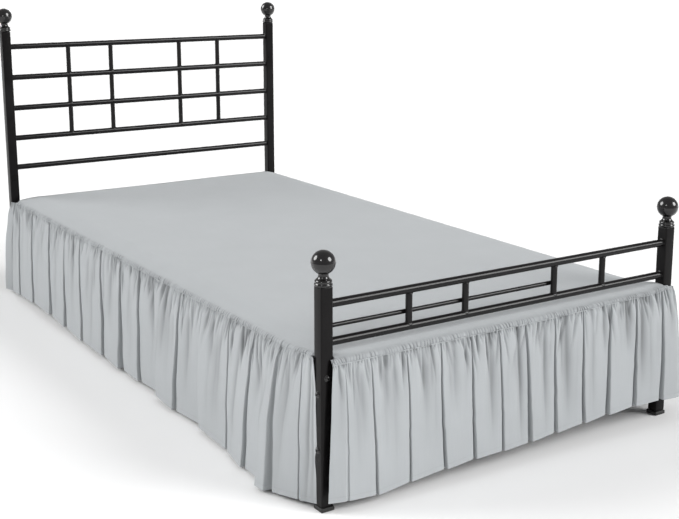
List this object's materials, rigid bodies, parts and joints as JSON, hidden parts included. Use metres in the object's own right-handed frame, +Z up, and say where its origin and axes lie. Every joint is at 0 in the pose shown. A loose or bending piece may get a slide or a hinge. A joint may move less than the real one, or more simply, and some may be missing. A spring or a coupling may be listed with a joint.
{
  "type": "bed skirt on metal bed frame",
  "caption": "Gathered bed skirt with a flat deck and split corners, hanging to the floor around the metal bed frame that it fits.",
  "frame": {"origin": "middle of the whole footprint, on the floor under the shoes", "axes": "+Z up, +Y to the head of the bed, +X to the bed's right side as seen from its foot"},
  "size_m": [1.1902, 2.1132, 0.9963],
  "materials": {
    "skirt_cloth": "plain fine weave, matte, pale cool grey",
    "black_metal": "glossy black coating on steel tube",
    "shoe_plastic": "matt black moulded shoe"
  },
  "bodies": {
    "root": {"deck": "skirt_cloth", "foot_bar_1": "black_metal", "foot_bar_2": "black_metal", "foot_bar_3": "black_metal", "foot_bar_4": "black_metal", "foot_cross_rail": "black_metal", "foot_hidden_rail": "black_metal", "foot_left_finial": "black_metal", "foot_left_post": "black_metal", "foot_left_shoe": "shoe_plastic", "foot_low_cross": "black_metal", "foot_rail_1": "black_metal", "foot_rail_2": "black_metal", "foot_right_finial": "black_metal", "foot_right_post": "black_metal", "foot_right_shoe": "shoe_plastic", "foot_rod": "black_metal", "foot_ruffle": "skirt_cloth", "head_bar_1_1": "black_metal", "head_bar_1_2": "black_metal", "head_bar_1_3": "black_metal", "head_bar_2_1": "black_metal", "head_bar_2_2": "black_metal", "head_bar_2_3": "black_metal", "head_bar_3_1": "black_metal", "head_bar_3_2": "black_metal", "head_bar_3_3": "black_metal", "head_bar_4_1": "black_metal", "head_bar_4_2": "black_metal", "head_bar_4_3": "black_metal", "head_cross_rail": "black_metal", "head_left_finial": "black_metal", "head_left_post": "black_metal", "head_left_shoe": "shoe_plastic", "head_rail_1": "black_metal", "head_rail_2": "black_metal", "head_rail_3": "black_metal", "head_rail_4": "black_metal", "head_rail_5": "black_metal", "head_right_finial": "black_metal", "head_right_post": "black_metal", "head_right_shoe": "shoe_plastic", "left_ledge": "black_metal", "left_ruffle": "skirt_cloth", "left_side_rail": "black_metal", "right_ledge": "black_metal", "right_ruffle": "skirt_cloth", "right_side_rail": "black_metal", "slat_1": "black_metal", "slat_2": "black_metal", "slat_3": "black_metal", "slat_4": "black_metal", "slat_5": "black_metal", "slat_6": "black_metal", "slat_7": "black_metal", "slat_8": "black_metal", "slat_9": "black_metal"}
  },
  "joints": []
}
